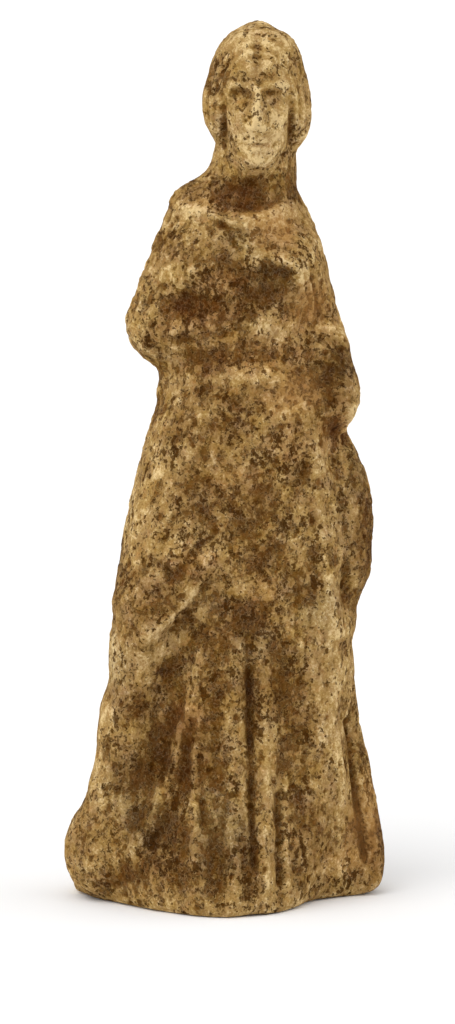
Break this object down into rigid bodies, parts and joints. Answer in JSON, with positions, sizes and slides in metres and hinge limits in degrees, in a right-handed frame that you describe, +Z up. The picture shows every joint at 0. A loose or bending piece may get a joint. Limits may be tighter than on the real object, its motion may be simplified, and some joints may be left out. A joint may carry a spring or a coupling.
{
  "type": "draped standing figurine",
  "caption": "Worn terracotta figurine of a standing woman wrapped in a mantle, one arm bent across the waist, on a flat flaring hem.",
  "frame": {"origin": "bottom centre of the bounding box, on the flat underside", "axes": "+Z up from the underside to the crown; the figure faces -Y; +X to the right of someone looking at its front"},
  "size_m": [0.0662, 0.0438, 0.18],
  "materials": {
    "terracotta": "unglazed fired clay, matt and worn, with brown and grey patina and dark specks"
  },
  "bodies": {
    "root": {"figurine": "terracotta"}
  },
  "joints": []
}
